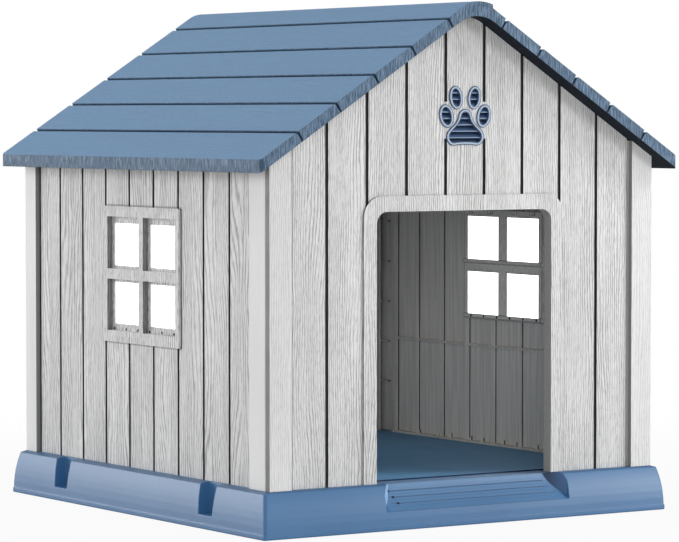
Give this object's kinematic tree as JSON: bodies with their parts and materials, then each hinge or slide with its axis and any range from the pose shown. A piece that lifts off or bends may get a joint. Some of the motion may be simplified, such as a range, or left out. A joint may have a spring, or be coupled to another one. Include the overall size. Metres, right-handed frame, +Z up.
{
  "type": "dog house",
  "caption": "Gabled plastic dog house with board-look walls, arched entry, side windows, paw-shaped vent, ramped base and a lift-off roof.",
  "frame": {"origin": "middle of the underside of the base, on the ground plane", "axes": "+Z up; the front with the doorway faces -Y; the roof ridge runs along Y; +X is to the right seen from the front"},
  "size_m": [0.978, 1.03, 1.0082],
  "materials": {
    "wall": "light grey moulded plastic with a wood grain",
    "insert": "plain grey moulded plastic",
    "pane": "milky translucent sheet",
    "base": "blue moulded plastic, fine texture",
    "floor": "dark blue moulded plastic",
    "roof": "greyish blue moulded plastic with a wood grain",
    "vent": "light blue moulded plastic"
  },
  "bodies": {
    "base": {"base_tray": "base", "floor_panel": "floor", "front_wall": "wall", "back_wall": "wall", "left_wall": "wall", "right_wall": "wall", "window_frame_left": "wall", "window_frame_right": "wall", "window_insert_left": "insert", "window_insert_right": "insert", "window_pane_left_1": "pane", "window_pane_left_2": "pane", "window_pane_left_3": "pane", "window_pane_left_4": "pane", "window_pane_right_1": "pane", "window_pane_right_2": "pane", "window_pane_right_3": "pane", "window_pane_right_4": "pane", "paw_vent": "vent"},
    "roof": {"roof_left": "roof", "roof_right": "roof"}
  },
  "joints": [
    {"name": "roof_lift", "type": "slide", "parent": "base", "child": "roof", "axis": [0, 0, 1], "range_m": [0, 0.3]}
  ]
}
